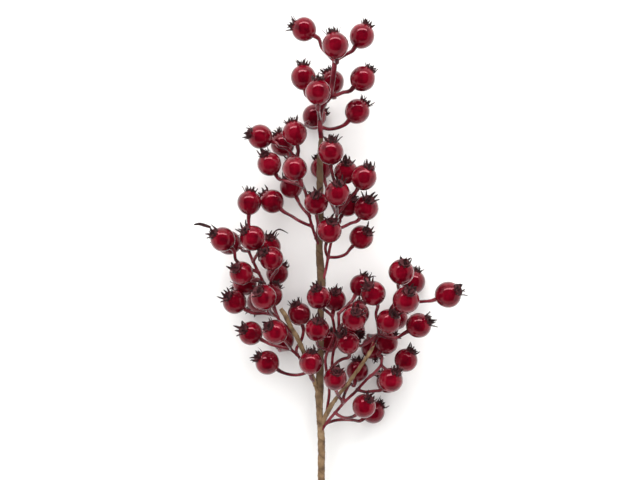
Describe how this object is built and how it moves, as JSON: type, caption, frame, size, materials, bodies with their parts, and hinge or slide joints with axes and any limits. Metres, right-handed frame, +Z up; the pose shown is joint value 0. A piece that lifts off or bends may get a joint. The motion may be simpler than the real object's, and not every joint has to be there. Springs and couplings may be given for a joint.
{
  "type": "artificial berry sprig",
  "caption": "Lying spray of glossy dark red berries with ragged dried crowns on branching moulded stalks, taped to a branching wire stem wrapped in brown crepe tape.",
  "frame": {"origin": "bottom centre of the sprig's box as it lies on a flat surface", "axes": "+Y along the sprig from the cut end to the tip, +X across it, +Z up from the surface it lies on"},
  "size_m": [0.1958, 0.46, 0.0927],
  "materials": {
    "berry": "deep red lacquered berry, high gloss, browner towards the crown",
    "stalk": "dark maroon moulded stalk, satin",
    "tape": "olive brown crepe paper tape wound on in a spiral",
    "wire": "plain drawn steel wire, cut at the end",
    "sepal": "dried and curled, nearly black"
  },
  "bodies": {
    "root": {"left_berry_1": "berry", "left_berry_10": "berry", "left_berry_12": "berry", "left_berry_2": "berry", "left_berry_4": "berry", "left_berry_5": "berry", "left_berry_6": "berry", "left_berry_8": "berry", "left_branch": "tape", "left_pick": "stalk", "long_sepal_left": "sepal", "long_sepal_middle": "sepal", "lower_left_berry_1": "berry", "lower_left_berry_2": "berry", "lower_left_berry_4": "berry", "lower_left_berry_5": "berry", "lower_left_pick": "stalk", "lower_right_berry_1": "berry", "lower_right_berry_10": "berry", "lower_right_berry_11": "berry", "lower_right_berry_2": "berry", "lower_right_berry_4": "berry", "lower_right_berry_8": "berry", "lower_right_pick": "stalk", "main_stem": "tape", "middle_berry_1": "berry", "middle_berry_3": "berry", "middle_pick": "stalk", "right_berry_1": "berry", "right_berry_4": "berry", "right_berry_5": "berry", "right_berry_6": "berry", "right_berry_8": "berry", "right_berry_9": "berry", "right_branch": "tape", "right_pick": "stalk", "stem_wire": "wire", "top_berry_1": "berry", "top_berry_2": "berry", "top_berry_3": "berry", "top_berry_4": "berry", "top_berry_5": "berry", "top_berry_7": "berry", "top_berry_8": "berry", "top_pick": "stalk", "upper_left_berry_1": "berry", "upper_left_berry_3": "berry", "upper_left_berry_4": "berry", "upper_left_berry_5": "berry", "upper_left_berry_7": "berry", "upper_left_berry_8": "berry", "upper_left_pick": "stalk", "upper_right_berry_2": "berry", "upper_right_berry_3": "berry", "upper_right_berry_4": "berry", "upper_right_berry_5": "berry", "upper_right_berry_7": "berry", "upper_right_berry_8": "berry", "upper_right_berry_9": "berry", "upper_right_pick": "stalk"}
  },
  "joints": []
}
